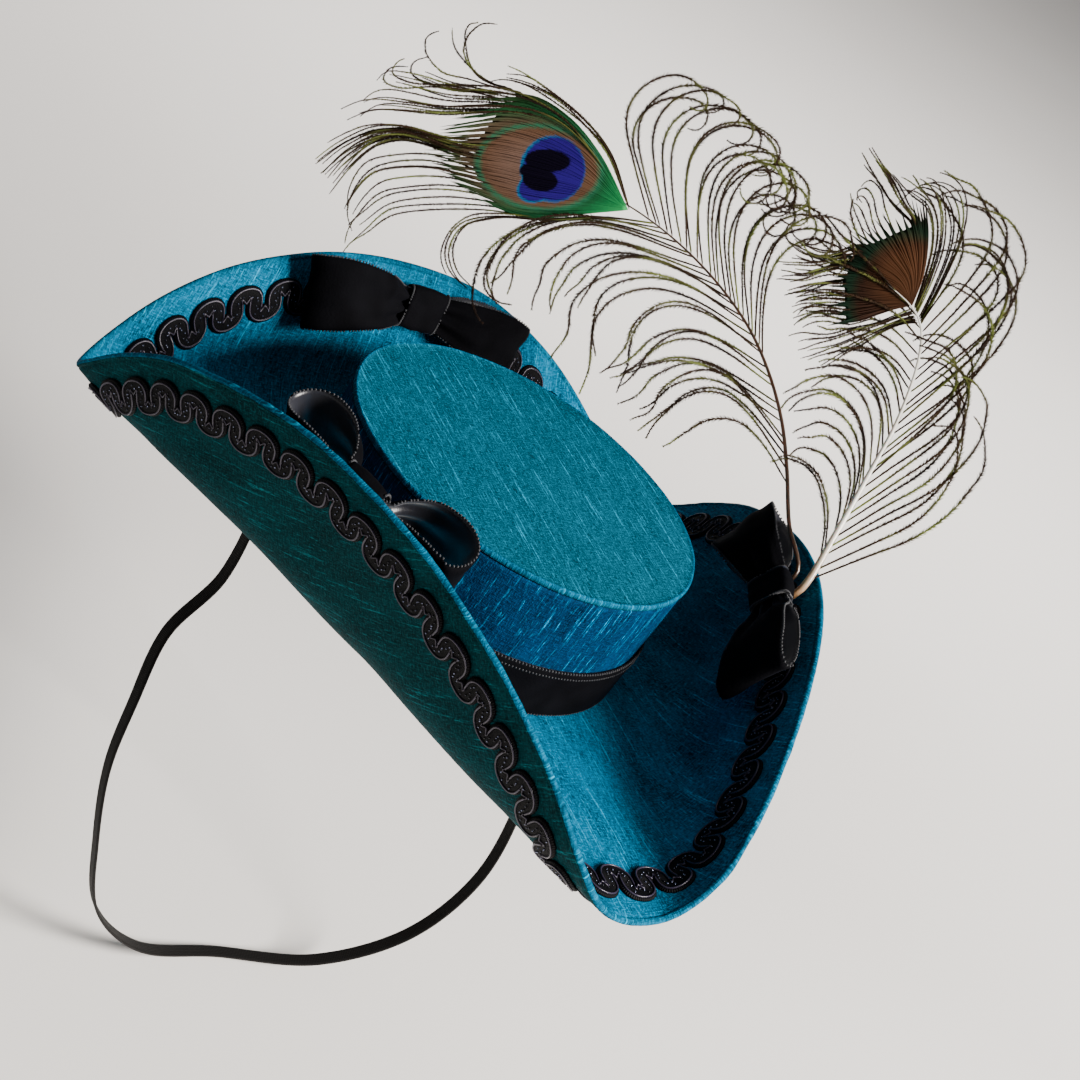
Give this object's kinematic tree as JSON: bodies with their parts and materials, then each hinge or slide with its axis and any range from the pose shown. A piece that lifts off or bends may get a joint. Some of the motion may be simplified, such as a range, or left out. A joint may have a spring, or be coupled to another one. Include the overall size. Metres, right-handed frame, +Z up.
{
  "type": "tricorn hat",
  "caption": "Small tricorn hat of shot silk with gimp braid on the folded brim, velvet band and bows, curled peacock feathers and an elastic head strap.",
  "frame": {"origin": "middle of the crown's foot, on the brim's upper face, above where the hat sits on the head", "axes": "+Z up the crown, -Y towards the brim's front point, +X to the wearer's left"},
  "size_m": [0.2671, 0.2919, 0.3558],
  "materials": {
    "teal_silk": "shot dupioni silk, dark teal with brighter slubs",
    "crown_silk": "the same silk on the crown's side, bluer, slubs upright",
    "black_velvet": "black velvet ribbon with a satin back",
    "black_gimp": "satin cord gimp with a fine glitter thread",
    "peacock_feather": "bronze-green barbs, dark blue eye",
    "black_elastic": "flat woven elastic, matte"
  },
  "bodies": {
    "root": {"crown_side": "crown_silk", "crown_tip": "teal_silk", "crown_band": "black_velvet", "brim": "teal_silk", "braid_upper": "black_gimp", "braid_under": "black_gimp", "rear_bow_loop_a": "black_velvet", "rear_bow_loop_b": "black_velvet", "rear_bow_knot": "black_velvet", "right_bow_loop_a": "black_velvet", "right_bow_loop_b": "black_velvet", "right_bow_knot": "black_velvet", "left_bow_loop_a": "black_velvet", "left_bow_loop_b": "black_velvet", "left_bow_knot": "black_velvet", "feather_long": "peacock_feather", "feather_short": "peacock_feather", "elastic_strap": "black_elastic"}
  },
  "joints": []
}
